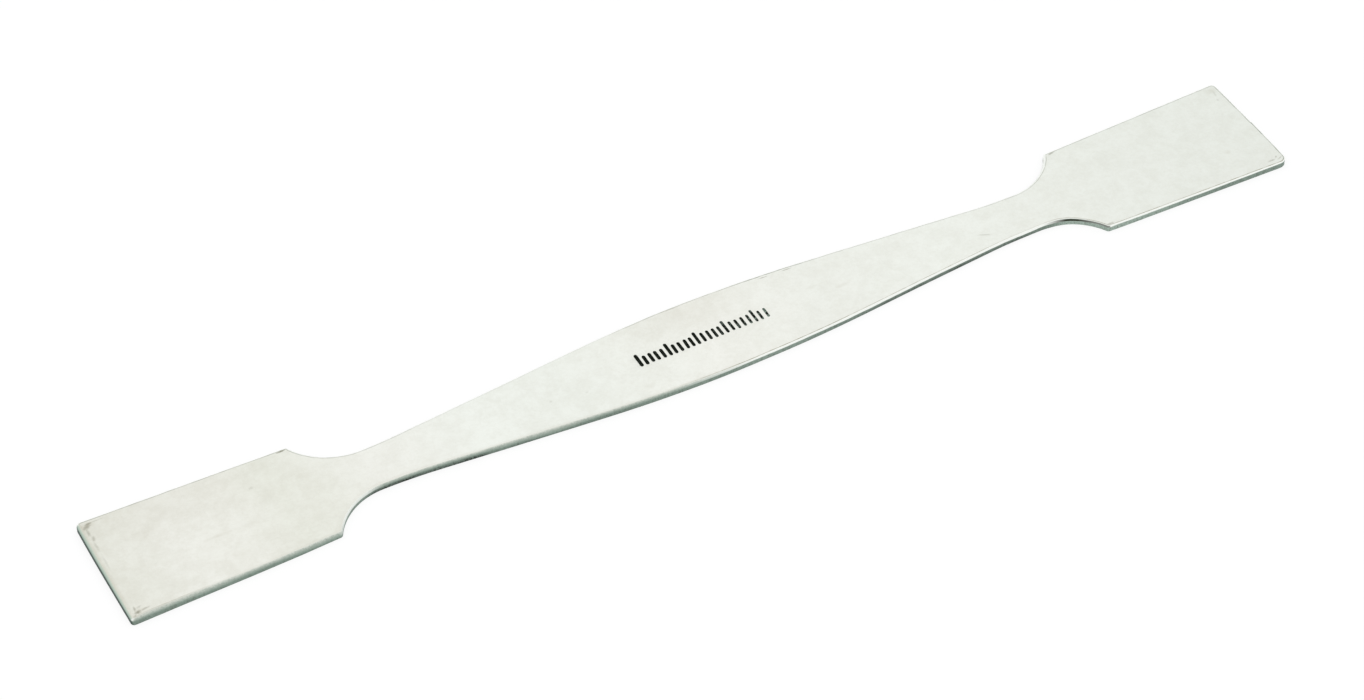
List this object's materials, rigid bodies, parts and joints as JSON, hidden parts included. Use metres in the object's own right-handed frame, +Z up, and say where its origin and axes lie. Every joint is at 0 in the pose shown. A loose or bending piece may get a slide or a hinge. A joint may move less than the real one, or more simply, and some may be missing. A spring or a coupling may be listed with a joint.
{
  "type": "laboratory spatula",
  "caption": "Flat double-ended stainless steel lab spatula: a broad blade at each end, narrow waists and a lens-shaped handle, for scooping and spreading powders.",
  "frame": {"origin": "middle of the underside, in the plane that the spatula rests on", "axes": "+X along the length, +Y across the width, +Z up through the thickness of the sheet"},
  "size_m": [0.2, 0.0214, 0.0012],
  "materials": {
    "steel": "satin faces, darker sheared edges"
  },
  "bodies": {
    "root": {"spatula": "steel"}
  },
  "joints": []
}
